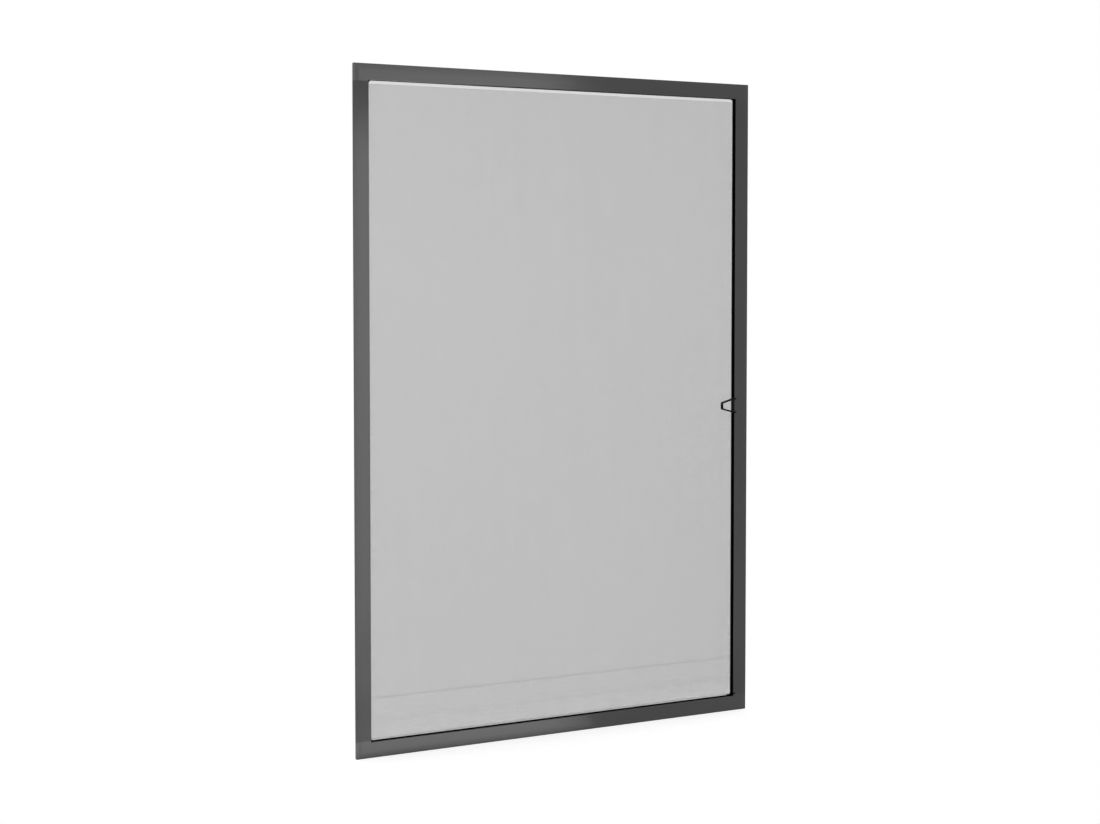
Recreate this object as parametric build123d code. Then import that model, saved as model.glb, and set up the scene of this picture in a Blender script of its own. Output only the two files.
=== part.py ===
from build123d import *
import os

# Window insect screen: a hollow aluminium frame with moulded corners, a woven cloth held by a
# rubber strip in a groove, pile seals behind the flange, and four hooks that hang it on a window.
# Millimetres. X is across the window, Z is up, and Y runs from the outside to the room.
# The origin is the middle of the screen, in the plane where the hooks bear on the window frame.

# Whole screen
screen_width = 800.0
screen_height = 1200.0

# Bar section: the depth is measured back from the front face
bar_width = 28.0
bar_depth = 12.8
bar_wall = 1.3
flange_width = 9.4
flange_depth = 5.4
crown_width = 12.0
crown_drop = 1.1
lip_chamfer = 0.8

# Groove along the inner edge, for the cloth and its rubber strip
groove_width = 4.6
cloth_plane = 11.3

# Slot in the flange for the pile seal
slot_side_wall = 1.6
slot_front = 2.4
slot_width = 6.2
slot_height = 1.5
slot_mouth = 3.6

# Corner pieces
corner_length = 30.0
corner_round = 1.5
leg_length = 42.0
leg_fit = 0.15
leg_rib_height = 0.7
leg_rib_length = 2.5
leg_rib_pitch = 9.0
leg_tip_chamfer = 1.2

# Cloth: wide bands with gaps between them stand for the fine weave, and open as much of it
cloth_thickness = 0.4
cloth_fold_depth = 8.0
cloth_fold_corner_gap = 14.0
gap_columns = 12
gap_rows = 10
band_width = 25.0
ridges_in_band = 3
ridge_height = 0.1
ridge_width = 3.0
ridge_pitch = 7.0

# Rubber strip
strip_setback = 0.4
strip_front_clearance = 0.2
strip_corner_radius = 9.0
strip_core_width = 1.4
strip_core_height = 5.0
strip_joint_gap = 0.6
strip_joint_from_corner = 5.0
strip_end_length = 3.0
strip_end_rise = 1.8
strip_tail_width = 2.0
strip_tail_thickness = 0.8
strip_tail_clearance = 0.2
strip_tail_over_lip = 3.4
strip_tail_height = 5.2

# Handle: a strap loop in the plane of the frame
handle_below_middle = 11.5
handle_reach = 27.5
handle_base_length = 29.0
handle_tip_length = 13.5
handle_strap = 2.8
handle_base_strap = 1.2
handle_depth = 5.0
handle_setback = 1.4
handle_outer_round = 0.8
handle_inner_round = 0.5
clip_reach = 2.8
clip_thickness = 1.0
clip_width = 3.2
clip_clearance = 0.2

# Pile seal
seal_fit = 0.15
seal_backing = 1.1
pile_width = 3.0
pile_proud = 4.6

# Hangers and their screws
brush_gap = 3.0
window_lip = 20.0
hanger_from_corner = 130.0
hanger_width = 24.0
hanger_sheet = 1.5
hanger_bend = 1.5
hanger_foot_end = 22.0
hook_height = 9.0
hook_hole_radius = 2.1
hook_hole_from_tip = 5.0
screw_spacing = 12.0
screw_radius = 1.75
screw_hole_clearance = 0.2
screw_pilot_clearance = 0.05
screw_length = 9.5
screw_tip = 2.0
screw_tip_radius = 0.2
screw_head_radius = 3.45
screw_head_height = 2.3
screw_head_round = 0.9
recess_width = 0.9
recess_length = 3.8
recess_depth = 1.3

# Places that follow from the sizes above
half_width = screen_width / 2
half_height = screen_height / 2
groove_floor = bar_width - groove_width
chamber_start = flange_width + bar_wall
chamber_end = groove_floor - bar_wall
chamber_back = bar_depth - bar_wall
chamber_middle = (chamber_start + chamber_end) / 2
slot_middle = slot_side_wall + slot_width / 2
cloth_front = cloth_plane - cloth_thickness
strip_front = bar_wall + strip_front_clearance
strip_face = bar_width - strip_setback
strip_back = groove_floor + cloth_thickness
hook_plane = flange_depth + brush_gap + window_lip
hanger_x = half_width - hanger_from_corner
handle_z = -handle_below_middle
inner_x = half_width - bar_width

# One plane for each side of the frame: its x runs inward from the outer edge, its y runs back
SIDES = {
    "left": Plane(origin=(-half_width, 0, 0), x_dir=(1, 0, 0), z_dir=(0, 0, 1)),
    "right": Plane(origin=(half_width, 0, 0), x_dir=(-1, 0, 0), z_dir=(0, 0, -1)),
    "top": Plane(origin=(0, 0, half_height), x_dir=(0, 0, -1), z_dir=(1, 0, 0)),
    "bottom": Plane(origin=(0, 0, -half_height), x_dir=(0, 0, 1), z_dir=(-1, 0, 0)),
}
SIDE_LENGTH = {
    "left": screen_height,
    "right": screen_height,
    "top": screen_width,
    "bottom": screen_width,
}


def span(low, high):
    """A rectangle in the section plane between two corners."""
    width = high[0] - low[0]
    height = high[1] - low[1]
    middle = Pos((low[0] + high[0]) / 2, (low[1] + high[1]) / 2)
    return middle * Rectangle(width, height)


def block(low, high):
    """A box between two opposite corners."""
    size = [b - a for a, b in zip(low, high)]
    middle = [(a + b) / 2 for a, b in zip(low, high)]
    return Pos(*middle) * Box(*size)


def outline(inner_edge):
    """The outside of the bar section as far as inner_edge: crown, face, body and flange."""
    straight = Polyline(
        (crown_width, 0),
        (inner_edge, 0),
        (inner_edge, bar_depth),
        (flange_width, bar_depth),
        (flange_width, flange_depth),
        (0, flange_depth),
        (0, crown_drop),
    )
    crown = TangentArc((crown_width, 0), (0, crown_drop), tangent=(-1, 0))
    return make_face(straight + crown)


def seal_slot():
    """The T slot that holds the pile seal, open at the back of the flange."""
    half = slot_width / 2
    mouth = slot_mouth / 2
    pocket = span((slot_middle - half, slot_front), (slot_middle + half, slot_front + slot_height))
    throat = span((slot_middle - mouth, slot_front), (slot_middle + mouth, flange_depth))
    return pocket + throat


def lip_edge():
    """The small chamfer on the front lip's inner edge."""
    return make_face(
        Polyline((bar_width - lip_chamfer, 0), (bar_width, 0), (bar_width, lip_chamfer), close=True)
    )


def bar_section():
    """The extruded section: outline less chamber, cloth groove, seal slot and lip chamfer."""
    chamber = span((chamber_start, bar_wall), (chamber_end, chamber_back))
    groove = span((groove_floor, bar_wall), (bar_width, cloth_plane))
    return outline(bar_width) - chamber - groove - seal_slot() - lip_edge()


def extrude_along(side, section, length):
    """The section pushed along one side of the frame, centred on that side."""
    return extrude(SIDES[side] * section, amount=length / 2, both=True)


def screw_places():
    """Each screw's place: the side of the frame that it is on, and its X."""
    places = []
    for side in ("top", "bottom"):
        for sign in (-1, 1):
            for step in (-0.5, 0.5):
                places.append((side, sign * hanger_x + step * screw_spacing))
    return places


def height_on(side, inward):
    """The Z of a point that lies a distance inward from the top or bottom edge."""
    return half_height - inward if side == "top" else inward - half_height


def round_bar(radius, x, z, front, back):
    """A cylinder along Y between two depths."""
    middle = (front + back) / 2
    return Pos(x, middle, z) * Rot(90, 0, 0) * Cylinder(radius, back - front)


def profile(side):
    """One bar of the frame, cut square between two corner pieces."""
    bar = extrude_along(side, bar_section(), SIDE_LENGTH[side] - 2 * corner_length)
    for place_side, x in screw_places():
        if place_side == side:
            z = height_on(side, chamber_middle)
            radius = screw_radius + screw_pilot_clearance
            bar -= round_bar(radius, x, z, chamber_back - bar_wall / 2, bar_depth + bar_wall)
    return bar


def corner_leg(side, direction):
    """A ribbed leg that presses into the chamber of one bar, on the side of the corner."""
    plane = SIDES[side]
    wide = chamber_end - chamber_start - 2 * leg_fit
    deep = chamber_back - bar_wall - 2 * leg_fit
    middle = (chamber_middle, (bar_wall + chamber_back) / 2)
    core = Pos(*middle) * Rectangle(wide - 2 * leg_rib_height, deep - 2 * leg_rib_height)
    rib = Pos(*middle) * Rectangle(wide, deep)
    start = SIDE_LENGTH[side] / 2 - corner_length
    leg = extrude(plane * Pos(0, 0, direction * (start - leg_length)) * core, leg_length * direction)
    tip = leg.faces().sort_by(Axis(plane.origin, plane.z_dir))
    tip = tip[0] if direction > 0 else tip[-1]
    leg = chamfer(tip.edges(), leg_tip_chamfer)
    count = int(leg_length / leg_rib_pitch)
    for number in range(count):
        place = direction * (start - number * leg_rib_pitch)
        leg += extrude(plane * Pos(0, 0, place) * rib, -leg_rib_length * direction)
    return leg


def corner(vertical, horizontal):
    """A moulded corner: a square cap with the bar's outside, a groove pocket, and two legs."""
    x_sign = -1 if vertical == "left" else 1
    z_sign = -1 if horizontal == "bottom" else 1
    full = screen_width + screen_height
    cap = extrude_along(vertical, outline(corner_length), full)
    cap &= extrude_along(horizontal, outline(corner_length), full)
    outer_edge = cap.edges().filter_by(Axis.Y).sort_by_distance((0, 0, 0))[-1]
    cap = fillet(outer_edge, corner_round)

    def corner_block(low, high, front, back):
        """A box whose low and high are distances inward from both outer edges."""
        xs = sorted((x_sign * (half_width - low), x_sign * (half_width - high)))
        zs = sorted((z_sign * (half_height - low), z_sign * (half_height - high)))
        return block((xs[0], front, zs[0]), (xs[1], back, zs[1]))

    over = corner_length + bar_wall
    cap -= corner_block(bar_width, over, -bar_wall, bar_depth + bar_wall)
    cap -= corner_block(groove_floor, over, bar_wall, cloth_plane)
    cap -= extrude_along(vertical, lip_edge(), full) & corner_block(
        bar_width - lip_chamfer, over, -bar_wall, bar_wall
    )
    cap -= extrude_along(horizontal, lip_edge(), full) & corner_block(
        bar_width - lip_chamfer, over, -bar_wall, bar_wall
    )
    # Each plane's z runs one way along its side, so the leg's direction follows its sign
    vertical_way = z_sign * (1 if SIDES[vertical].z_dir.Z > 0 else -1)
    horizontal_way = x_sign * (1 if SIDES[horizontal].z_dir.X > 0 else -1)
    return cap + corner_leg(vertical, vertical_way) + corner_leg(horizontal, horizontal_way)


def seal(side):
    """A woven pile seal: its backing slides in the slot and its pile stands behind the flange."""
    half = slot_width / 2 - seal_fit
    back_front = slot_front + seal_fit
    backing = span((slot_middle - half, back_front), (slot_middle + half, back_front + seal_backing))
    pile = span(
        (slot_middle - pile_width / 2, back_front),
        (slot_middle + pile_width / 2, flange_depth + pile_proud),
    )
    return extrude_along(side, backing + pile, SIDE_LENGTH[side] - 2 * corner_length)


def comb(length, height, bands):
    """Half of the cloth's thickness, as long and high as given, with ridges along each band."""
    wall = (cloth_thickness - 2 * ridge_height) / 2
    points = [(length / 2, wall), (length / 2, 0), (-length / 2, 0), (-length / 2, wall)]
    for band in bands:
        for number in range(ridges_in_band):
            middle = band + (number - (ridges_in_band - 1) / 2) * ridge_pitch
            start = middle - ridge_width / 2
            end = middle + ridge_width / 2
            points.append((start, wall))
            points.append((start, wall + ridge_height))
            points.append((end, wall + ridge_height))
            points.append((end, wall))
    return extrude(make_face(Polyline(*points, close=True)), amount=height / 2, both=True)


def grid_lines(length, count):
    """The middles of the bands that divide an opening of this length into a number of gaps."""
    return [(number - count / 2) * length / count for number in range(1, count)]


def insect_mesh():
    """The cloth: upright ridges in front, level ridges behind, a grid of gaps, folded edges."""
    wide = screen_width - 2 * groove_floor
    high = screen_height - 2 * groove_floor
    open_wide = screen_width - 2 * bar_width
    open_high = screen_height - 2 * bar_width
    middle = cloth_plane - cloth_thickness / 2
    columns = grid_lines(open_wide, gap_columns)
    rows = grid_lines(open_high, gap_rows)
    front = Pos(0, middle, 0) * Rot(0, 0, 180) * comb(wide, high, columns)
    back = Pos(0, middle, 0) * Rot(0, 90, 0) * comb(high, wide, rows)
    fold = span((groove_floor, cloth_plane - cloth_fold_depth), (strip_back, middle))
    folds = []
    for side, length in SIDE_LENGTH.items():
        folds.append(extrude_along(side, fold, length - 2 * (groove_floor + cloth_fold_corner_gap)))
    cloth = front + [back, *folds]
    column_step = open_wide / gap_columns
    row_step = open_high / gap_rows
    gap = Box(column_step - band_width, 2 * cloth_thickness, row_step - band_width)
    holes = []
    for column in range(gap_columns):
        for row in range(gap_rows):
            x = (column + 0.5) * column_step - open_wide / 2
            z = (row + 0.5) * row_step - open_high / 2
            holes.append(Pos(x, middle, z) * gap)
    return cloth - holes


def rounded_ring(inset, radius, front, back):
    """A rounded slab whose outline lies inset from the frame's outer edge, between two depths."""
    plane = Plane(origin=(0, back, 0), x_dir=(1, 0, 0), z_dir=(0, -1, 0))
    shape = RectangleRounded(screen_width - 2 * inset, screen_height - 2 * inset, radius)
    return extrude(plane * shape, back - front)


def clip_heights():
    """The Z of the handle's two clips."""
    offset = (handle_base_length - clip_width) / 2
    return (handle_z - offset, handle_z + offset)


def strip_ends():
    """The strip's two swollen ends at the bottom right, and the tail that hooks over the lip."""
    joint_x = inner_x - strip_joint_from_corner
    face_z = -half_height + strip_face
    ends = block(
        (joint_x - strip_joint_gap - strip_end_length, strip_front, face_z - strip_end_rise),
        (joint_x + strip_end_length, cloth_front, face_z + strip_end_rise),
    )
    front = -strip_tail_clearance - strip_tail_thickness
    back = strip_front + strip_tail_width
    near = inner_x - strip_tail_clearance - strip_tail_thickness
    low = -half_height + bar_width + strip_tail_height - strip_tail_width / 2
    high = low + strip_tail_width
    stem = block((near, front, low), (near + strip_tail_thickness, back, high))
    root = block((near, strip_front, low), (half_width - strip_face + strip_end_rise, back, high))
    flap = block((near, front, low), (inner_x + strip_tail_over_lip, -strip_tail_clearance, high))
    return [ends, stem, root, flap]


def mesh_spline():
    """The hollow rubber strip: one length round the groove, its ends meeting at the bottom right."""
    thick = strip_face - strip_back
    outer = strip_corner_radius + thick
    strip = rounded_ring(strip_back, outer, strip_front, cloth_front)
    over = bar_wall
    strip -= rounded_ring(strip_face, strip_corner_radius, strip_front - over, cloth_front + over)
    core_side = (thick - strip_core_width) / 2
    core_front = (strip_front + cloth_front - strip_core_height) / 2
    core_back = core_front + strip_core_height
    core = rounded_ring(strip_back + core_side, outer - core_side, core_front, core_back)
    inner_radius = strip_corner_radius + core_side
    core -= rounded_ring(strip_face - core_side, inner_radius, core_front - over, core_back + over)
    strip -= core
    strip += strip_ends()
    joint_x = inner_x - strip_joint_from_corner
    floor_z = -half_height + groove_floor
    strip -= block(
        (joint_x - strip_joint_gap, 0, floor_z - over),
        (joint_x, bar_depth, floor_z + 2 * groove_width),
    )
    for z in clip_heights():
        half = clip_width / 2 + clip_clearance
        strip -= block(
            (inner_x - over, 0, z - half),
            (inner_x + clip_reach + clip_clearance, bar_wall + clip_thickness + clip_clearance, z + half),
        )
    return strip


def inside_tip(edge):
    """Whether an edge of the handle's loop is one of the two inside its tip."""
    return abs(edge.center().X - (inner_x + handle_strap - handle_reach)) < handle_strap / 4


def pull_handle():
    """The strap loop: a trapezoid band with a flat base and two clips on the front lip."""
    base = handle_base_length / 2
    tip = handle_tip_length / 2
    back = (inner_x, handle_setback + handle_depth, handle_z)
    plane = Plane(origin=back, x_dir=(1, 0, 0), z_dir=(0, -1, 0))
    outside = make_face(
        Polyline((0, base), (-handle_reach, tip), (-handle_reach, -tip), (0, -base), close=True)
    )
    lean = (base - tip) / handle_reach
    slant = handle_strap * (1 + lean**2) ** 0.5
    near = base - slant - handle_base_strap * lean
    far = tip - slant + handle_strap * lean
    inside = make_face(
        Polyline(
            (-handle_base_strap, near),
            (handle_strap - handle_reach, far),
            (handle_strap - handle_reach, -far),
            (-handle_base_strap, -near),
            close=True,
        )
    )
    loop = extrude(plane * (outside - inside), handle_depth)
    uprights = loop.edges().filter_by(Axis.Y).sort_by(Axis.X)
    loop = fillet(uprights[0:2], handle_outer_round)
    inner = loop.edges().filter_by(Axis.Y).filter_by(inside_tip)
    loop = fillet(inner, handle_inner_round)
    for z in clip_heights():
        low = z - clip_width / 2
        high = z + clip_width / 2
        arm = inner_x - handle_base_strap
        loop += block((arm, -clip_thickness, low), (inner_x, handle_setback + handle_depth, high))
        loop += block((arm, -clip_thickness, low), (inner_x + clip_reach, 0, high))
        loop += block((arm, bar_wall, low), (inner_x + clip_reach, bar_wall + clip_thickness, high))
    return loop


def hanger(side, sign):
    """A folded steel hook: foot on the bar's back, web through the window, hook behind its lip."""
    back = hook_plane + hanger_sheet
    tip = flange_width - hook_height
    inner = flange_width + hanger_sheet
    section = make_face(
        Polyline(
            (hanger_foot_end, bar_depth),
            (flange_width, bar_depth),
            (flange_width, hook_plane),
            (tip, hook_plane),
            (tip, back),
            (inner, back),
            (inner, bar_depth + hanger_sheet),
            (hanger_foot_end, bar_depth + hanger_sheet),
            close=True,
        )
    )
    strip = extrude(SIDES[side] * section, amount=hanger_width / 2, both=True)
    x = sign * hanger_x
    strip = Pos(x, 0, 0) * strip
    strip = bend_edges(strip, side, (inner, back), hanger_bend + hanger_sheet)
    strip = bend_edges(strip, side, (flange_width, bar_depth), hanger_bend)
    strip = bend_edges(strip, side, (inner, bar_depth + hanger_sheet), hanger_bend)
    for step in (-0.5, 0.5):
        place = x + step * screw_spacing
        z = height_on(side, chamber_middle)
        radius = screw_radius + screw_hole_clearance
        strip -= round_bar(radius, place, z, bar_depth - hanger_sheet, bar_depth + 2 * hanger_sheet)
    z = height_on(side, tip + hook_hole_from_tip)
    strip -= round_bar(hook_hole_radius, x, z, hook_plane - hanger_sheet, back + hanger_sheet)
    return strip


def bend_edges(strip, side, place, radius):
    """Rounds the long edge of a folded strip that passes through one point of its section."""
    z = height_on(side, place[0])
    edges = strip.edges().filter_by(Axis.X)
    near = edges.sort_by(lambda e: abs(e.center().Y - place[1]) + abs(e.center().Z - z))[0]
    return fillet(near, radius)


def screw(side, x):
    """A self-tapping screw: domed head with a cross recess, plain shank and point."""
    z = height_on(side, chamber_middle)
    seat = bar_depth + hanger_sheet
    head = round_bar(screw_head_radius, 0, 0, 0, screw_head_height)
    head = fillet(head.edges().sort_by(Axis.Y)[-1], screw_head_round)
    for turn in (0, 90):
        slot = Box(recess_length, 2 * recess_depth, recess_width)
        head -= Pos(0, screw_head_height, 0) * Rot(0, turn, 0) * slot
    shank = round_bar(screw_radius, 0, 0, screw_tip - screw_length, 0)
    point = Rot(90, 0, 0) * Cone(screw_radius, screw_tip_radius, screw_tip)
    point = Pos(0, screw_tip / 2 - screw_length, 0) * point
    return Pos(x, seat, z) * (head + shank + point)


def write(name, shape):
    """Moves a finished piece to the hook plane's frame and writes its file."""
    export_step(Pos(0, -hook_plane, 0) * shape, f"parts/{name}.step")


os.makedirs("parts", exist_ok=True)
for side_name in SIDES:
    write(f"profile_{side_name}", profile(side_name))
    write(f"brush_seal_{side_name}", seal(side_name))
for level in ("top", "bottom"):
    for hand, hand_sign in (("left", -1), ("right", 1)):
        write(f"corner_{level}_{hand}", corner(hand, level))
        write(f"hanger_{level}_{hand}", hanger(level, hand_sign))
write("insect_mesh", insect_mesh())
write("mesh_spline", mesh_spline())
write("pull_handle", pull_handle())
write("hanger_screws", Compound(children=[screw(*place) for place in screw_places()]))
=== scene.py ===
# %% [markdown]
# # A window insect screen
#
# The real object is a light frame that hangs in a window. Four hollow aluminium bars are pushed
# onto moulded corners, a fine woven cloth is held in a groove by a black rubber strip, and one
# small strap handle sits on the right bar. Pile seals and four folded hooks are on its back.
#
# The construction model already holds every piece at its real size, so this script leaves those
# pieces where they are. It gives them their finishes, and it makes again the two things that a
# plain solid can't show: the woven cloth and the brush seals.

import math
import random

import bmesh
import bpy
from mathutils import Matrix, Vector


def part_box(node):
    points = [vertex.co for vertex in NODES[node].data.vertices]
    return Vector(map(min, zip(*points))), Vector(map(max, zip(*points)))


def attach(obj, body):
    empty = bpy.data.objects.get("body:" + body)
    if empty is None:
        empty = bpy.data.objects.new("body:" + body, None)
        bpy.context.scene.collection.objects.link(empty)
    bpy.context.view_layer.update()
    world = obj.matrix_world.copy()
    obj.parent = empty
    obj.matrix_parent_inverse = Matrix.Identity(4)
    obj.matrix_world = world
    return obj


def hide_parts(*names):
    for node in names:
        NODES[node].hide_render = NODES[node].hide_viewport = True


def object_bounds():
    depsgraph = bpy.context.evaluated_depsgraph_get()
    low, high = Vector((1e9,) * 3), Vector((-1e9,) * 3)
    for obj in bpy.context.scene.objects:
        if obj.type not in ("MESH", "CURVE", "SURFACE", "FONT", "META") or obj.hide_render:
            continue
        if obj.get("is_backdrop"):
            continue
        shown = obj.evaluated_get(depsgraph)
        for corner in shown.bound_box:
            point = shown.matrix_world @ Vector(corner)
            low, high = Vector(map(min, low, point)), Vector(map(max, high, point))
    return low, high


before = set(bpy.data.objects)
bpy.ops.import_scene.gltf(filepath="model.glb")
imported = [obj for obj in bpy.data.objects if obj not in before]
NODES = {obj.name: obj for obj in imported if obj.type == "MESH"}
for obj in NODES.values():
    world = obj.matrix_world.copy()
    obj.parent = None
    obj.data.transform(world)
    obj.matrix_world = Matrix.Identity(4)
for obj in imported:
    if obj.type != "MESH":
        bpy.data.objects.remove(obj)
CAD_LOW, CAD_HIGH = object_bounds()
MM = 0.001

print("nodes loaded:", len(NODES))
print("size in mm:", [round(side / MM, 1) for side in CAD_HIGH - CAD_LOW])

# %% [markdown]
# ## The camera
#
# The picture was taken from the left of the screen, near the middle of its height. A camera can be
# placed by eye, or from the object's own outline. The second way was used here: the lens, place
# and turn are those at which the frame's eight outer and inner edges fall where the picture has
# them. The lens is shifted a little, which keeps the uprights nearly parallel.

# %% Camera
CAMERA_PLACE = Vector((-1.4769, -2.8814, 0.2417))
CAMERA_YAW = math.radians(26.98)
CAMERA_PITCH = math.radians(-2.39)
CAMERA_LENS = 57.97
PHOTO_WIDTH = 1100
HORIZON_RISE = 65

camera_data = bpy.data.cameras.new("camera")
camera_data.sensor_width = 36.0
camera_data.lens = CAMERA_LENS
camera_data.shift_y = -HORIZON_RISE / PHOTO_WIDTH
camera = bpy.data.objects.new("camera", camera_data)
camera.location = CAMERA_PLACE
camera.rotation_euler = (math.radians(90) + CAMERA_PITCH, 0, -CAMERA_YAW)
bpy.context.scene.collection.objects.link(camera)
bpy.context.scene.camera = camera
bpy.context.scene.view_settings.view_transform = "Standard"

print("camera distance in m:", round(CAMERA_PLACE.length, 2))

# %% [markdown]
# ## Shader sums
#
# A node tree can be built with one call for each node, but long chains of Math nodes are hard to
# read. Here a small class wraps an output, so that a sum such as `1 - mask * 0.4` adds its own
# Math nodes. Every other node comes from one method, which takes the node's type, its settings
# and then its inputs.

# %% A class for outputs, and one for trees
class Wire:
    """One output of a node, which can be used in sums."""

    def __init__(self, tree, node, name=0):
        self.tree = tree
        self.node = node
        self.socket = node.outputs[name]

    def __getitem__(self, name):
        return Wire(self.tree, self.node, name)

    def _sum(self, operation, first, second):
        return self.tree.add("ShaderNodeMath", {"operation": operation}, {0: first, 1: second})

    def __add__(self, other):
        return self._sum("ADD", self, other)

    def __radd__(self, other):
        return self._sum("ADD", other, self)

    def __sub__(self, other):
        return self._sum("SUBTRACT", self, other)

    def __rsub__(self, other):
        return self._sum("SUBTRACT", other, self)

    def __mul__(self, other):
        return self._sum("MULTIPLY", self, other)

    def __rmul__(self, other):
        return self._sum("MULTIPLY", other, self)


class Tree:
    """A node tree, and the one method that makes a node in it."""

    def __init__(self, owner):
        owner.use_nodes = True
        self.nodes = owner.node_tree.nodes
        self.links = owner.node_tree.links
        self.nodes.clear()

    def add(self, kind, settings=None, inputs=None):
        """Makes a node: its settings come first, then a value or a wire for each input."""
        node = self.nodes.new(kind)
        for name, value in (settings or {}).items():
            if name == "stops":
                self._set_stops(node.color_ramp, value)
            else:
                setattr(node, name, value)
        for name, value in (inputs or {}).items():
            if isinstance(value, Wire):
                self.links.new(value.socket, node.inputs[name])
            else:
                node.inputs[name].default_value = value
        return Wire(self, node) if node.outputs else node

    def _set_stops(self, ramp, stops):
        """Gives a ramp its stops, as pairs of a place and a grey or a colour."""
        while len(ramp.elements) < len(stops):
            ramp.elements.new(1.0)
        for element, (place, colour) in zip(ramp.elements, stops):
            element.position = place
            element.color = colour if hasattr(colour, "__len__") else (colour, colour, colour, 1)


def grey(value):
    """A grey as a colour with its alpha."""
    return (value, value, value, 1.0)


print("a grey as a colour:", grey(0.5))

# %% [markdown]
# Every finish here is a tone with a little noise in it. The noise could be an image, but that
# would have to be unwrapped onto every piece. Worked out from each point's place in the object, it
# needs no unwrapping, and its grain keeps its real size. The helpers below start a material, make
# a noise, mix two of them, and turn the mix into a tone or into a small swing about a value. Noise
# seldom leaves its middle values, so a ramp spans only those.

# %% Helpers for noise and tones
RAMP_ENDS = (0.3, 0.7)


def new_material(name):
    """A material, its empty tree, and each point's place in the object as a wire."""
    material = bpy.data.materials.new(name)
    tree = Tree(material)
    return material, tree, tree.add("ShaderNodeTexCoord")["Object"]


def noise(tree, place, scale, detail, roughness=0.5):
    """A noise from 0 to 1 over a place, with this many grains to each unit of it."""
    return tree.add(
        "ShaderNodeTexNoise",
        None,
        {"Vector": place, "Scale": scale, "Detail": detail, "Roughness": roughness},
    )


def blend(first, second, share):
    """A mix of two wires, with this share of the first."""
    return first * share + second * (1 - share)


def swing(mask, by):
    """A wire that goes up and down about zero with a mask."""
    return (mask - 0.5) * by


def two_tones(tree, mask, low, high, ends=RAMP_ENDS):
    """A ramp over a mask, from the low tone at its first end to the high one at its last."""
    stops = [(ends[0], low), (ends[1], high)]
    return tree.add("ShaderNodeValToRGB", {"stops": stops}, {"Fac": mask})


print("a ramp spans these values of its noise:", RAMP_ENDS)

# %% [markdown]
# ## The room
#
# A product picture has a white ground. The world is white where the camera, a reflection or a
# clear surface looks at it, and a softer white where it lights the object, so the ground stays
# white however the lamps are set. The floor is plain and pale. It takes the object's shadow near
# the object and fades into the white ground further out, so that it has no edge.

# %% World
WORLD_LIGHT = 0.62


def looked_at(tree):
    """1 where the camera, a reflection or a clear surface looks, and 0 for light on the object."""
    path = tree.add("ShaderNodeLightPath")
    return tree.add(
        "ShaderNodeMath",
        {"operation": "ADD", "use_clamp": True},
        {0: path["Is Camera Ray"], 1: path["Is Glossy Ray"] + path["Is Transmission Ray"]},
    )


world = bpy.data.worlds.new("white room")
bpy.context.scene.world = world
sky = Tree(world)
soft_light = sky.add("ShaderNodeBackground", None, {"Color": grey(1.0), "Strength": WORLD_LIGHT})
white_ground = sky.add("ShaderNodeBackground", None, {"Color": grey(1.0), "Strength": 1.0})
both = sky.add("ShaderNodeMixShader", None, {0: looked_at(sky), 1: soft_light, 2: white_ground})
sky.add("ShaderNodeOutputWorld", None, {"Surface": both})

print("world light:", WORLD_LIGHT)

# %% [markdown]
# The floor's shader adds a glow to a pale matt surface, for the camera and for reflections alone.
# That lifts the open floor to white and leaves the shadow a little darker. A ramp on the distance
# from the line on which the screen stands then blends it into the ground.

# %% Floor
FLOOR_SIDE = 14.0
FLOOR_COLOUR = 0.80
FLOOR_GRAIN = 35.0
FLOOR_UNEVEN = 0.01
FLOOR_GLOW = 0.63
FADE_START = 0.02
FADE_END = 0.24


def paint_floor():
    """The floor's material: pale, with the shadow kept, and fading out to white."""
    material, tree, place = new_material("pale floor")
    split = tree.add("ShaderNodeSeparateXYZ", None, {0: place})
    beside = tree.add("ShaderNodeMath", {"operation": "ABSOLUTE"}, {0: split["X"]}) - CAD_HIGH.x
    beside = tree.add("ShaderNodeMath", {"operation": "MAXIMUM"}, {0: beside, 1: 0.0})
    square = beside * beside + split["Y"] * split["Y"]
    distance = tree.add("ShaderNodeMath", {"operation": "SQRT"}, {0: square})
    far = tree.add(
        "ShaderNodeMapRange",
        {"interpolation_type": "SMOOTHSTEP"},
        {"Value": distance, "From Min": FADE_START, "From Max": FADE_END},
    )
    seen = looked_at(tree)
    grain = noise(tree, place, FLOOR_GRAIN, detail=4.0, roughness=0.6)
    shade = two_tones(tree, grain, FLOOR_COLOUR - FLOOR_UNEVEN, FLOOR_COLOUR + FLOOR_UNEVEN)
    matt = tree.add("ShaderNodeBsdfDiffuse", None, {"Color": shade})
    glow = tree.add(
        "ShaderNodeEmission", None, {"Color": grey(1.0), "Strength": seen * FLOOR_GLOW}
    )
    lit = tree.add("ShaderNodeAddShader", None, {0: matt, 1: glow})
    white = tree.add("ShaderNodeEmission", None, {"Color": grey(1.0), "Strength": 1.0})
    surface = tree.add("ShaderNodeMixShader", None, {0: far * seen, 1: lit, 2: white})
    tree.add("ShaderNodeOutputMaterial", None, {"Surface": surface})
    return material


def finish_object(name, mesh_data):
    """Turns a bmesh into an object at the origin and links it."""
    mesh = bpy.data.meshes.new(name)
    mesh_data.to_mesh(mesh)
    mesh_data.free()
    made = bpy.data.objects.new(name, mesh)
    bpy.context.scene.collection.objects.link(made)
    return made


ground = bmesh.new()
bmesh.ops.create_grid(ground, x_segments=1, y_segments=1, size=FLOOR_SIDE / 2)
bmesh.ops.translate(ground, verts=ground.verts, vec=(0, 0, CAD_LOW.z))
floor = finish_object("floor", ground)
floor.data.materials.append(paint_floor())
floor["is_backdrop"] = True

print("floor height in mm:", round(CAD_LOW.z / MM, 1))

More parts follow.
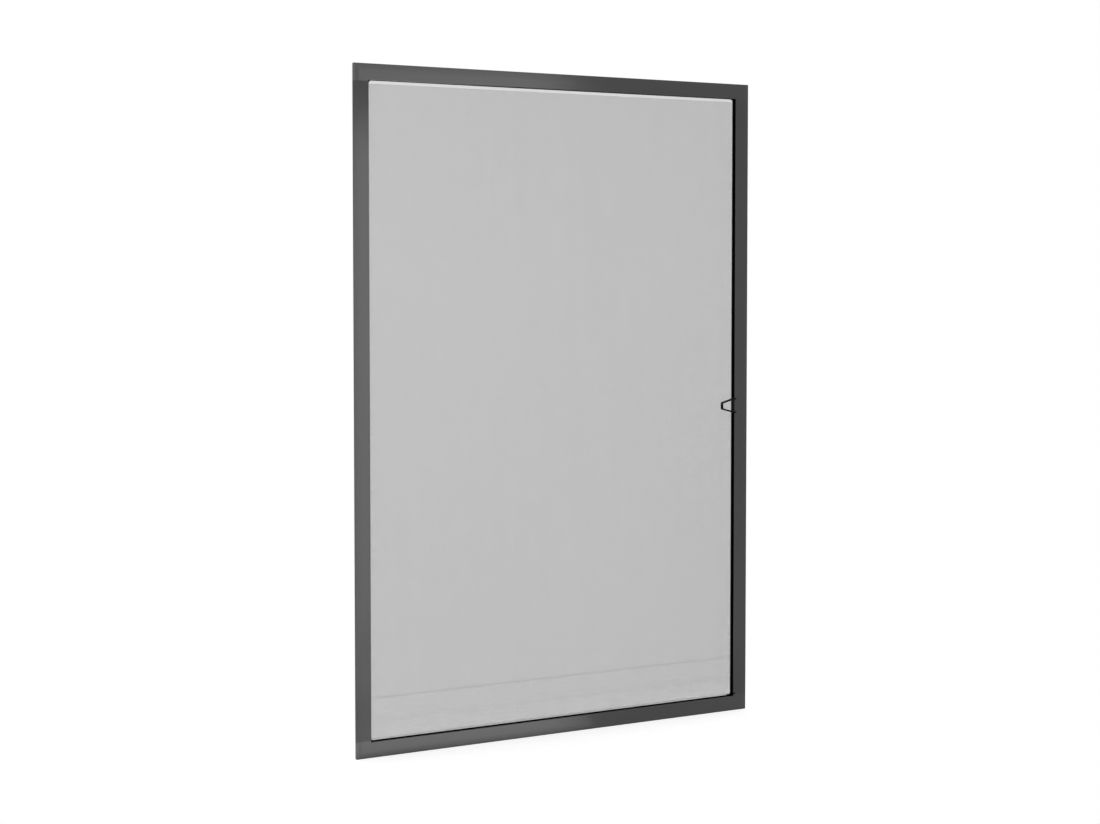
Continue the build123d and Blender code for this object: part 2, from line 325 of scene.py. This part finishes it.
# %% [markdown]
# ## The lamps
#
# The picture has broad, soft light, and a sheen that lies on the left bar and on the left half of
# the rails, and then fades out. Only lamps with edges make such a sheen. Each bar mirrors what a
# straight line from the camera over the bar meets, and each lamp's place was found from that line:
#
# - the sheen lamp is as tall as the screen and close in front of it, for the left bar, and the top
#   lamp above it is for the top rail
# - the edge lamp is further left, for the bars' rounded outer edge
# - three lamps lie on the floor, where the lines from the bottom rail and from the lower end of the
#   left bar end, and they are weaker near the screen
# - the lip lamp shines up at the thin lip under the top bar
#
# All of these are seen by reflections alone, so the floor and the cloth stay as they are. The back
# lamp stands behind the screen and also lights the matt surfaces there.

# %% Lamps
def lamp(name, place, aim, size, power, spread=180.0):
    """A rectangular lamp that shines along a direction and that only reflections see."""
    data = bpy.data.lights.new(name, "AREA")
    data.shape = "RECTANGLE"
    data.size, data.size_y = size
    data.energy = power
    data.spread = math.radians(spread)
    made = bpy.data.objects.new(name, data)
    made.location = place
    made.rotation_euler = Vector(aim).to_track_quat("-Z", "Y").to_euler()
    made.visible_camera = False
    made.visible_transmission = False
    made.visible_diffuse = False
    bpy.context.scene.collection.objects.link(made)
    return made


SHEEN_TURN = math.radians(36)
SHEEN_AIM = Vector((-math.sin(SHEEN_TURN), math.cos(SHEEN_TURN), 0))
TOP_TILT = Vector((0, 0, 0.27))
LIP_AIM = Vector((-0.42, 0.14, 1.17))
LIP_LAMP_Z = CAD_LOW.z + 0.08
BACK_PLACE = Vector((0.6, 3.0, 1.6))
INWARDS = Vector((0, 1, 0))
UP = Vector((0, 0, 1))
FLOOR_Z = CAD_LOW.z + 0.001

lamp("sheen lamp", (0.083, -0.985, 0.0), SHEEN_AIM, size=(0.79, 1.18), power=2.15, spread=64)
lamp("top lamp", (0.16, -0.93, 0.90), SHEEN_AIM - TOP_TILT, (0.58, 0.28), power=0.08, spread=64)
lamp("edge lamp", (-0.43, -0.95, 0.0), INWARDS, size=(0.30, 1.18), power=3.0)
lamp("near floor lamp", (-0.172, -0.075, FLOOR_Z), UP, size=(0.495, 0.07), power=0.13)
lamp("middle floor lamp", (-0.175, -0.30, FLOOR_Z), UP, size=(0.49, 0.38), power=0.95)
lamp("far floor lamp", (-0.175, -0.81, FLOOR_Z), UP, size=(0.49, 0.64), power=3.1)
lamp("lip lamp", (0.17, -0.164, LIP_LAMP_Z), LIP_AIM, size=(0.42, 0.25), power=0.3, spread=60)
back_lamp = lamp("back lamp", BACK_PLACE, -BACK_PLACE, size=(2.0, 1.6), power=11)
back_lamp.visible_diffuse = True

print("lamps:", len(bpy.data.lights))

# %% [markdown]
# ## The coated aluminium
#
# Window bars are coated after they are extruded, and the faint lines of the die still show in the
# coat. They spread a reflection across the bar and not along it, which is why the upright bars
# are brightest half way up while the level bars fade from left to right. Bumps alone could make
# that spread, but they would have to be finer than a pixel of the picture. The shader's
# anisotropy makes it instead, and a fine bump along each bar makes the lines themselves. On level
# pieces the anisotropy gets a quarter turn, because it would otherwise run across them.

# %% Coated metal
# Both kinds of bar carry one coat. The level copy's colour is darker as painted shade, which
# offsets its stronger shine under these lamps, so that level and upright bars show one tone outside
# the sheen.
UPRIGHT_COLOUR, UPRIGHT_SHINE = 0.052, 0.42
LEVEL_COLOUR, LEVEL_SHINE = 0.023, 0.70
COAT_ROUGHNESS = 0.344
COAT_SPREAD = 0.98
QUARTER_TURN = 0.25
DIE_LINE_PITCH = 0.45 * MM
DIE_LINE_LENGTH = 160 * MM
COAT_GRAIN = 0.35 * MM
COAT_CLOUDS = 9.0
COAT_UNEVEN = 0.07
COAT_RELIEF = 0.006 * MM
SPECK_SHARE = 0.6


def coated_metal(name, upright):
    """Dark coat on an extruded bar, with its die lines along Z if upright, and else along X."""
    tone = UPRIGHT_COLOUR if upright else LEVEL_COLOUR
    material, tree, place = new_material(name)
    across = 1 / DIE_LINE_PITCH
    along = 1 / DIE_LINE_LENGTH
    stretch = (across, across, along) if upright else (along, across, across)
    drawn = tree.add("ShaderNodeMapping", None, {"Vector": place, "Scale": stretch})
    lines = noise(tree, drawn, scale=1.0, detail=2.0)
    specks = noise(tree, place, 1 / COAT_GRAIN, detail=2.0)
    cloudy = noise(tree, place, COAT_CLOUDS, detail=3.0)
    colour = two_tones(
        tree,
        blend(lines, cloudy, share=0.45),
        low=tone * (1 - COAT_UNEVEN),
        high=tone * (1 + COAT_UNEVEN),
        ends=(0.25, 0.75),
    )
    roughness = COAT_ROUGHNESS + swing(cloudy, by=0.03) + swing(lines, by=0.02)
    relief = tree.add(
        "ShaderNodeBump",
        None,
        {"Strength": 1.0, "Distance": COAT_RELIEF, "Height": lines + specks * SPECK_SHARE},
    )
    surface = tree.add(
        "ShaderNodeBsdfPrincipled",
        None,
        {
            "Base Color": colour,
            "Roughness": roughness,
            "Normal": relief,
            "Specular IOR Level": UPRIGHT_SHINE if upright else LEVEL_SHINE,
            "Anisotropic": COAT_SPREAD,
            "Anisotropic Rotation": 0.0 if upright else QUARTER_TURN,
        },
    )
    tree.add("ShaderNodeOutputMaterial", None, {"Surface": surface})
    return material


def dress(node, material):
    """Gives every material slot of a construction node this material."""
    for slot in NODES[node].material_slots:
        slot.material = material


upright_coat = coated_metal("upright bar coat", upright=True)
level_coat = coated_metal("level bar coat", upright=False)
for side in ("left", "right"):
    dress(f"profile_{side}", upright_coat)
for side in ("top", "bottom"):
    dress(f"profile_{side}", level_coat)

print("coated bars:", [name for name in NODES if name.startswith("profile")])

# %% [markdown]
# ## The moulded parts
#
# The corners, the handle and the rubber strip are moulded. Their colour is even, and what tells
# them apart is how they shine. Hard plastic has a fine spark-eroded grain from its mould, while
# rubber is nearly black and has hardly any shine. Each could have a material of its own making,
# but they differ in a few numbers alone, so one function makes all three. The corners also take
# the level bars' spread, so that the sheen on the bars runs on over them.

# %% Moulded plastic and rubber
MOULD_CLOUDS = 30.0
MOULD_UNEVEN = 0.15


def moulded(name, colour, roughness, grain, depth, shine, spread=0.0):
    """A moulded material: an even colour, a grain of one size and depth, and its own shine."""
    material, tree, place = new_material(name)
    fine = noise(tree, place, 1 / grain, detail=3.0)
    cloudy = noise(tree, place, MOULD_CLOUDS, detail=2.0)
    shade = two_tones(
        tree,
        blend(fine, cloudy, share=0.4),
        low=colour * (1 - MOULD_UNEVEN),
        high=colour * (1 + MOULD_UNEVEN),
    )
    relief = tree.add(
        "ShaderNodeBump", None, {"Strength": 1.0, "Distance": depth, "Height": fine}
    )
    surface = tree.add(
        "ShaderNodeBsdfPrincipled",
        None,
        {
            "Base Color": shade,
            "Roughness": roughness + swing(fine, by=0.1),
            "Normal": relief,
            "Specular IOR Level": shine,
            "Anisotropic": spread,
            "Anisotropic Rotation": QUARTER_TURN,
        },
    )
    tree.add("ShaderNodeOutputMaterial", None, {"Surface": surface})
    return material


# Like the level bars, the corners have a darker colour as painted shade, which offsets their
# stronger shine.
corner_plastic = moulded(
    "corner plastic",
    colour=0.022,
    roughness=COAT_ROUGHNESS,
    grain=0.4 * MM,
    depth=0.004 * MM,
    shine=LEVEL_SHINE,
    spread=COAT_SPREAD,
)
black_plastic = moulded(
    "handle plastic", colour=0.005, roughness=0.5, grain=0.5 * MM, depth=0.008 * MM, shine=0.12
)
black_rubber = moulded(
    "rubber", colour=0.003, roughness=0.8, grain=0.8 * MM, depth=0.02 * MM, shine=0.0
)
for node in NODES:
    if node.startswith("corner"):
        dress(node, corner_plastic)
dress("pull_handle", black_plastic)
dress("mesh_spline", black_rubber)

print("moulded corners:", [name for name in NODES if name.startswith("corner")])

# %% [markdown]
# ## The steel hooks and screws
#
# The hooks are folded from zinc-plated strip, which shows long rolling lines and a cool, slightly
# cloudy metal. The screws are rolled and plated, so they have fine specks instead of lines. A
# picture of plated steel would have to be fitted to every fold. A noise that is stretched along X
# draws the lines without that, and with equal scales it makes the specks.

# %% Plated steel
ZINC = (0.62, 0.64, 0.65)
ZINC_DARKEST, ZINC_LIGHTEST = 0.80, 1.12
ZINC_CLOUDS = 220.0
ZINC_RELIEF = 0.01 * MM
ROLLING_LINES = (60, 3000, 3000)
SCREW_SPECKS = (900, 900, 900)


def plated_steel(name, grain, roughness):
    """Zinc plate on steel, with the grain's scale along each axis, and a cloudy tone."""
    material, tree, place = new_material(name)
    stretched = tree.add("ShaderNodeMapping", None, {"Vector": place, "Scale": grain})
    marks = noise(tree, stretched, scale=1.0, detail=3.0)
    cloudy = noise(tree, place, ZINC_CLOUDS, detail=3.0)
    dark = [tone * ZINC_DARKEST for tone in ZINC] + [1]
    light = [tone * ZINC_LIGHTEST for tone in ZINC] + [1]
    shade = two_tones(tree, blend(marks, cloudy, share=0.5), dark, light)
    relief = tree.add(
        "ShaderNodeBump", None, {"Strength": 1.0, "Distance": ZINC_RELIEF, "Height": marks}
    )
    surface = tree.add(
        "ShaderNodeBsdfPrincipled",
        None,
        {
            "Base Color": shade,
            "Metallic": 1.0,
            "Roughness": roughness + swing(cloudy, by=0.2),
            "Normal": relief,
        },
    )
    tree.add("ShaderNodeOutputMaterial", None, {"Surface": surface})
    return material


hanger_steel = plated_steel("zinc plated strip", ROLLING_LINES, roughness=0.34)
screw_steel = plated_steel("zinc plated screws", SCREW_SPECKS, roughness=0.28)
for node in NODES:
    if node == "hanger_screws":
        dress(node, screw_steel)
    elif node.startswith("hanger"):
        dress(node, hanger_steel)

print("plated pieces:", [name for name in NODES if name.startswith("hanger")])

# %% [markdown]
# ## The woven cloth
#
# The cloth is glass yarn in a plastic coat, woven square and then heated, so that the yarns stick
# where they cross. It could be drawn as a pattern of clear and dark squares on one sheet, but then
# light and shadow would not pass between the yarns. Here each yarn is a real six-sided prism, and
# an Array modifier repeats it over the frame. The tone of the cloth is then simply the share of
# the ground that its yarns cover.

# %% Yarn sizes
YARN = 0.405 * MM
YARN_PITCH = 1.4 * MM
YARN_OVERLAP = 0.09 * MM
CLOTH_LOW, CLOTH_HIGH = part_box("insect_mesh")
STRIP_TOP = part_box("mesh_spline")[1].z
CLOTH_BACK = CLOTH_HIGH.y
CLOTH_SHEET = 0.4 * MM
CLOTH_MIDDLE = CLOTH_BACK - CLOTH_SHEET / 2
EDGE_CLEARANCE = 0.3 * MM
TOP_GAP = 5.0 * MM

print("cloth size in mm:", [round(side / MM, 1) for side in CLOTH_HIGH - CLOTH_LOW])

# %% [markdown]
# One prism is made by the cone operator with two equal radii. It stands along Z, and a quarter
# turn about Y lays it down for the level yarns. An Array modifier on a temporary object repeats
# it, and the mesh that comes out is kept.

# %% Weave the yarns
YARN_SIDES = 6


def repeat(shape, step, count):
    """Repeats a bmesh in steps with an Array modifier, and returns the mesh that this makes."""
    pattern = finish_object("pattern", shape)
    array = pattern.modifiers.new("repeat", "ARRAY")
    array.use_relative_offset = False
    array.use_constant_offset = True
    array.constant_offset_displace = step
    array.count = count
    view = bpy.context.evaluated_depsgraph_get()
    repeated = bpy.data.meshes.new_from_object(pattern.evaluated_get(view))
    bpy.data.objects.remove(pattern)
    return repeated


def yarns(upright, reach, spread, depth):
    """A row of equal yarns as a mesh: reach is their half length, spread the row's half width."""
    row = bmesh.new()
    bmesh.ops.create_cone(
        row,
        cap_ends=True,
        segments=YARN_SIDES,
        radius1=YARN / 2,
        radius2=YARN / 2,
        depth=2 * reach,
    )
    if not upright:
        bmesh.ops.rotate(row, verts=row.verts, matrix=Matrix.Rotation(math.radians(90), 3, "Y"))
    step = Vector((YARN_PITCH, 0, 0)) if upright else Vector((0, 0, YARN_PITCH))
    count = int(2 * spread / YARN_PITCH) + 1
    start = -(count - 1) / 2 * step
    bmesh.ops.translate(row, verts=row.verts, vec=start + Vector((0, depth, 0)))
    return repeat(row, step, count), count


reach_x = CLOTH_HIGH.x - EDGE_CLEARANCE
reach_z = CLOTH_HIGH.z - EDGE_CLEARANCE
upright_yarns, upright_count = yarns(True, reach_z, reach_x, CLOTH_MIDDLE - YARN_OVERLAP)
level_yarns, level_count = yarns(False, reach_x, reach_z, CLOTH_MIDDLE + YARN_OVERLAP)

print("upright yarns:", upright_count, "level yarns:", level_count)

# %% [markdown]
# No loom keeps its pitch exactly. The upright yarns wander by a fraction of a millimetre, which
# gives the faint streaks that run down a real screen. The level yarns crowd together at three
# heights near the bottom, as they do where a loom is stopped or a strip is pressed in beside them.
# Each yarn moves as a whole: if its points moved one by one, it would grow thinner where the yarns
# are close, and the cloth would keep one even tone.

# %% Let the yarns wander
YARN_POINTS = 2 * YARN_SIDES
STREAKS = ((0.08, 47.0, 0.4), (0.03, 23.0, 1.9), (0.01, 11.0, 4.4))
LOOM_STOPS = ((-0.497, 0.65, 2.2), (-0.538, 0.22, 3.5), (-0.5706, 0.8, 1.6))


def streak_shift(x):
    """How far the yarn at x has wandered: a sum of slow waves, each (mm, wavelength, phase)."""
    return MM * sum(
        size * math.sin(2 * math.pi * x / MM / length + phase) for size, length, phase in STREAKS
    )


def loom_shift(z):
    """How far the yarn at z is pulled towards each stop, given as (height in m, mm, width)."""
    return MM * sum(
        size * math.tanh((height - z) / MM / width) for height, size, width in LOOM_STOPS
    )


def each_yarn(shape, start):
    """The yarns of a bmesh from one of its points on, each as a list of its points."""
    shape.verts.ensure_lookup_table()
    for first in range(start, len(shape.verts), YARN_POINTS):
        yield shape.verts[first : first + YARN_POINTS]


def middle_of(yarn, axis):
    """Where a yarn's middle is along an axis."""
    return sum(point.co[axis] for point in yarn) / YARN_POINTS


def move_yarns(shape, start, axis, shift):
    """Moves each yarn as a whole along an axis, by the shift at its middle."""
    for yarn in each_yarn(shape, start):
        step = shift(middle_of(yarn, axis))
        for point in yarn:
            point.co[axis] += step


woven = bmesh.new()
woven.from_mesh(upright_yarns)
move_yarns(woven, 0, 0, streak_shift)
upright_points = len(woven.verts)
woven.from_mesh(level_yarns)
move_yarns(woven, upright_points, 2, loom_shift)

print("yarn points:", len(woven.verts))

# %% [markdown]
# A bright line shows under the top bar, as if a few level yarns were missing there. The next cell
# deletes them, from the strip's face down by the depth of the gap. The cloth's edges are folded
# forward into the groove. What is folded can't be seen there, so four flat strips stand for it.

# %% Open the top gap and add the folded edges
STRIP_THICKNESS = 3.8 * MM
FOLD_THICKNESS = 0.3 * MM
FOLD_CORNER_GAP = 14 * MM

sight_top = STRIP_TOP - STRIP_THICKNESS
gap_points = []
for yarn in each_yarn(woven, upright_points):
    if sight_top - TOP_GAP < middle_of(yarn, 2) < sight_top:
        gap_points += yarn
bmesh.ops.delete(woven, geom=gap_points, context="VERTS")


def add_bar(shape, low, high):
    """Adds a plain bar between two opposite corners to a bmesh, for what hides in a groove."""
    size = Vector(high) - Vector(low)
    place = Matrix.Translation((Vector(low) + Vector(high)) / 2) @ Matrix.Diagonal((*size, 1))
    bmesh.ops.create_cube(shape, size=1.0, matrix=place)


fold_x = CLOTH_HIGH.x - FOLD_THICKNESS
fold_z = CLOTH_HIGH.z - FOLD_THICKNESS
long_x = CLOTH_HIGH.x - FOLD_CORNER_GAP
long_z = CLOTH_HIGH.z - FOLD_CORNER_GAP
front_y, back_y = CLOTH_LOW.y, CLOTH_MIDDLE
add_bar(woven, (fold_x, front_y, -long_z), (CLOTH_HIGH.x, back_y, long_z))
add_bar(woven, (-CLOTH_HIGH.x, front_y, -long_z), (-fold_x, back_y, long_z))
add_bar(woven, (-long_x, front_y, fold_z), (long_x, back_y, CLOTH_HIGH.z))
add_bar(woven, (-long_x, front_y, -CLOTH_HIGH.z), (long_x, back_y, -fold_z))
cloth = finish_object("insect_cloth", woven)

print("level yarns left out:", len(gap_points) // YARN_POINTS)
print("cloth triangles:", sum(len(face.vertices) - 2 for face in cloth.data.polygons))

# %% [markdown]
# The yarn's coat is a soft plastic, dark and a little shiny. Its colour changes slightly from
# yarn to yarn, because each one is coated by itself before it is woven. One material for each yarn
# would make more than a thousand of them. A noise whose grain is two yarns wide mottles the cloth
# in much the same way, and a broad noise adds slow changes across it.

# %% Coated yarn
YARN_COLOUR = 0.020
YARN_UNEVEN = 0.2
YARN_ROUGHNESS = 0.45
YARN_SHINE = 0.25
CLOTH_CLOUDS = 5.0


def coated_yarn():
    """Dark soft plastic on glass yarn, with a slow change of tone across the cloth."""
    material, tree, place = new_material("coated yarn")
    mottle = noise(tree, place, 1 / (2 * YARN_PITCH), detail=1.0)
    broad = noise(tree, place, CLOTH_CLOUDS, detail=2.0)
    shade = two_tones(
        tree,
        blend(mottle, broad, share=0.6),
        low=YARN_COLOUR * (1 - YARN_UNEVEN),
        high=YARN_COLOUR * (1 + YARN_UNEVEN),
    )
    surface = tree.add(
        "ShaderNodeBsdfPrincipled",
        None,
        {
            "Base Color": shade,
            "Roughness": YARN_ROUGHNESS + swing(mottle, by=0.1),
            "Specular IOR Level": YARN_SHINE,
        },
    )
    tree.add("ShaderNodeOutputMaterial", None, {"Surface": surface})
    return material


cloth.data.materials.append(coated_yarn())
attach(cloth, "root")
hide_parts("insect_mesh")

print("the cloth's material:", cloth.data.materials[0].name)

# %% [markdown]
# The cloth was cut larger than it stands, by the depth of a fold at each edge.

# %% [markdown]
# ## The brush seals
#
# A brush seal is a woven backing with rows of pile. As a hair system it would be lost in the
# exported meshes, so each tuft is a small tapered bundle of its own: a four-sided cone, repeated
# in three rows as the yarns were, and then leaned at random. The backing is a plain strip that
# slides in the bar's slot.

# %% Brush seals
SEAL_BACKING = 1.1 * MM
TUFT_PITCH = 1.5 * MM
TUFT_ROWS = (-1.0 * MM, 0.0, 1.0 * MM)
TUFT_SIDES = 4
TUFT_POINTS = 2 * TUFT_SIDES
TUFT_FOOT = 0.85 * MM
TUFT_TIP = 0.5 * MM
TUFT_LEAN = 0.35 * MM
TUFT_UNEVEN = 0.7 * MM


def tuft_row(length, width_place, front, back):
    """One row of tufts along Z as a mesh, standing along Y between two depths."""
    row = bmesh.new()
    bmesh.ops.create_cone(
        row,
        cap_ends=True,
        segments=TUFT_SIDES,
        radius1=TUFT_FOOT,
        radius2=TUFT_TIP,
        depth=back - front,
    )
    bmesh.ops.rotate(row, verts=row.verts, matrix=Matrix.Rotation(math.radians(-90), 3, "X"))
    count = int(length / TUFT_PITCH) - 1
    start = Vector((width_place, (front + back) / 2, -(count - 1) / 2 * TUFT_PITCH))
    bmesh.ops.translate(row, verts=row.verts, vec=start)
    return repeat(row, (0, 0, TUFT_PITCH), count)


def brush_seal(side):
    """A pile seal in the place of its construction solid."""
    node = f"brush_seal_{side}"
    low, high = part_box(node)
    middle = (low + high) / 2
    upright = side in ("left", "right")
    length = high.z - low.z if upright else high.x - low.x
    width = high.x - low.x if upright else high.z - low.z
    depth = high.y - low.y
    chance = random.Random(f"pile {side}")
    seal = bmesh.new()
    for place in TUFT_ROWS:
        seal.from_mesh(tuft_row(length, place, -depth / 2 + SEAL_BACKING / 2, depth / 2))
    seal.verts.ensure_lookup_table()
    for first in range(0, len(seal.verts), TUFT_POINTS):
        tuft = seal.verts[first : first + TUFT_POINTS]
        lean = Vector((chance.uniform(-1, 1), 0, chance.uniform(-1, 1))) * TUFT_LEAN
        shorter = chance.random() * TUFT_UNEVEN
        for point in tuft:
            if point.co.y > 0:
                point.co += lean
                point.co.y -= shorter
    add_bar(
        seal,
        (-width / 2, -depth / 2, -length / 2),
        (width / 2, SEAL_BACKING - depth / 2, length / 2),
    )
    if not upright:
        turn = Matrix.Rotation(math.radians(90), 3, "Y")
        bmesh.ops.rotate(seal, verts=seal.verts, matrix=turn)
    bmesh.ops.translate(seal, verts=seal.verts, vec=middle)
    made = finish_object(f"pile_{side}", seal)
    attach(made, "root")
    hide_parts(node)
    return made


seals = [brush_seal(side) for side in ("top", "bottom", "left", "right")]
print("pile triangles:", sum(2 * len(seal.data.polygons) for seal in seals))

# %% [markdown]
# Pile is dull and soft: rough all over, and slightly lighter where its ends catch the light. Its
# single hairs could be modelled, but they would be far too many and too fine to see. Two noises
# colour it instead, one with the grain of a tuft and one with that of a hair. The finer one makes
# the relief as well, and the shader's own sheen gives the ends their lift.

# %% Pile
PILE_COLOUR = 0.045
PILE_DARKEST, PILE_LIGHTEST = 0.6, 1.5
PILE_ROUGHNESS = 0.9
PILE_SHINE = 0.2
PILE_SHEEN = 0.3
PILE_TUFTS = 500.0
PILE_HAIRS = 3000.0
PILE_RELIEF = 0.1 * MM


def pile_fibre():
    """Dark grey pile, uneven from tuft to tuft."""
    material, tree, place = new_material("pile fibre")
    tufts = noise(tree, place, PILE_TUFTS, detail=2.0)
    hairs = noise(tree, place, PILE_HAIRS, detail=2.0)
    shade = two_tones(
        tree,
        blend(tufts, hairs, share=0.5),
        low=PILE_COLOUR * PILE_DARKEST,
        high=PILE_COLOUR * PILE_LIGHTEST,
    )
    relief = tree.add(
        "ShaderNodeBump", None, {"Strength": 0.8, "Distance": PILE_RELIEF, "Height": hairs}
    )
    surface = tree.add(
        "ShaderNodeBsdfPrincipled",
        None,
        {
            "Base Color": shade,
            "Roughness": PILE_ROUGHNESS - swing(hairs, by=0.1),
            "Normal": relief,
            "Specular IOR Level": PILE_SHINE,
            "Sheen Weight": PILE_SHEEN,
            "Sheen Roughness": 0.5,
        },
    )
    tree.add("ShaderNodeOutputMaterial", None, {"Surface": surface})
    return material


pile = pile_fibre()
for seal in seals:
    seal.data.materials.append(pile)

print("seals with pile:", len(seals))

# %% [markdown]
# ## The measure of the whole
#
# The last cell prints how far the finished scene has grown beyond the box of the construction
# model, along each axis.

# %% Print how far the whole has grown
seen_low, seen_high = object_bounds()
growth = (seen_high - seen_low) - (CAD_HIGH - CAD_LOW)
print("grown by in mm:", [round(side / MM, 2) for side in growth])
